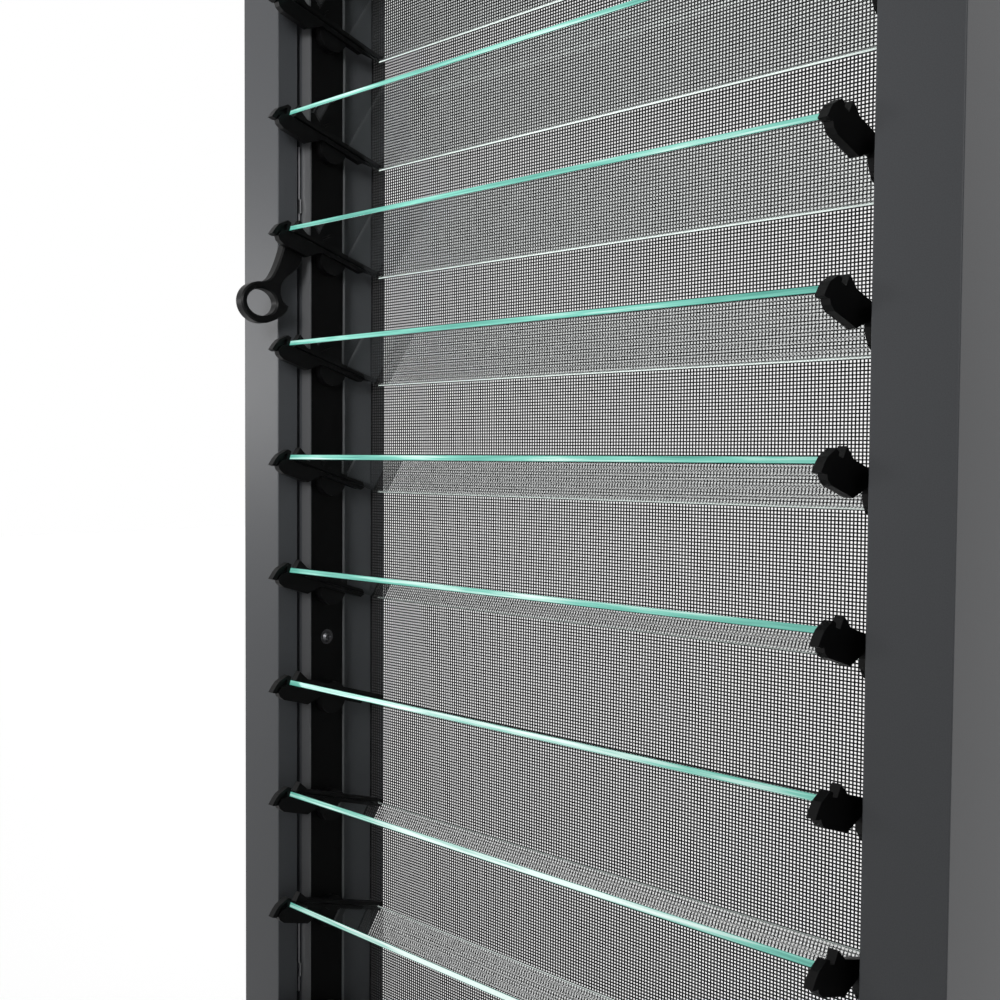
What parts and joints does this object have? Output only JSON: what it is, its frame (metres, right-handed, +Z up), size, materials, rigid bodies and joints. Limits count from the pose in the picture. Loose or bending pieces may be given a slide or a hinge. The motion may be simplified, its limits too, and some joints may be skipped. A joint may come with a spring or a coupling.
{
  "type": "glass louvre window",
  "caption": "Upright glass louvre window: charcoal frame, tilted clear blades in black end clips, a ring handle and a woven screen behind.",
  "frame": {"origin": "centre of the sill rail's underside", "axes": "+X right seen from the room, +Y outdoors, +Z up; the room side faces -Y"},
  "size_m": [0.6, 0.1539, 1.021],
  "materials": {
    "frame_coat": "satin charcoal powder coat",
    "channel_coat": "satin charcoal powder coat",
    "carrier_plastic": "matte black",
    "link_metal": "mill",
    "glass": "clear float glass with polished edges",
    "clip_plastic": "satin black",
    "screen_coat": "satin black",
    "screen_wire": "black coated wire"
  },
  "bodies": {
    "root": {"sill_rail": "frame_coat", "head_rail": "frame_coat", "left_jamb": "frame_coat", "right_jamb": "frame_coat", "left_channel": "channel_coat", "right_channel": "channel_coat", "left_carrier": "carrier_plastic", "right_carrier": "carrier_plastic", "left_link_bar": "link_metal", "right_link_bar": "link_metal", "blade_01": "glass", "blade_02": "glass", "blade_03": "glass", "blade_04": "glass", "blade_05": "glass", "blade_06": "glass", "blade_07": "glass", "blade_08": "glass", "blade_09": "glass", "blade_10": "glass", "left_clip_01": "clip_plastic", "left_clip_02": "clip_plastic", "left_clip_03": "clip_plastic", "left_clip_04": "clip_plastic", "left_clip_05": "clip_plastic", "left_clip_06": "clip_plastic", "left_clip_07": "clip_plastic", "left_clip_08": "clip_plastic", "left_clip_09": "clip_plastic", "left_clip_10": "clip_plastic", "right_clip_01": "clip_plastic", "right_clip_02": "clip_plastic", "right_clip_03": "clip_plastic", "right_clip_04": "clip_plastic", "right_clip_05": "clip_plastic", "right_clip_06": "clip_plastic", "right_clip_07": "clip_plastic", "right_clip_08": "clip_plastic", "right_clip_09": "clip_plastic", "right_clip_10": "clip_plastic", "ring_handle": "clip_plastic", "screen_bar_bottom": "screen_coat", "screen_bar_top": "screen_coat", "screen_bar_left": "screen_coat", "screen_bar_right": "screen_coat", "screen_mesh": "screen_wire"}
  },
  "joints": []
}
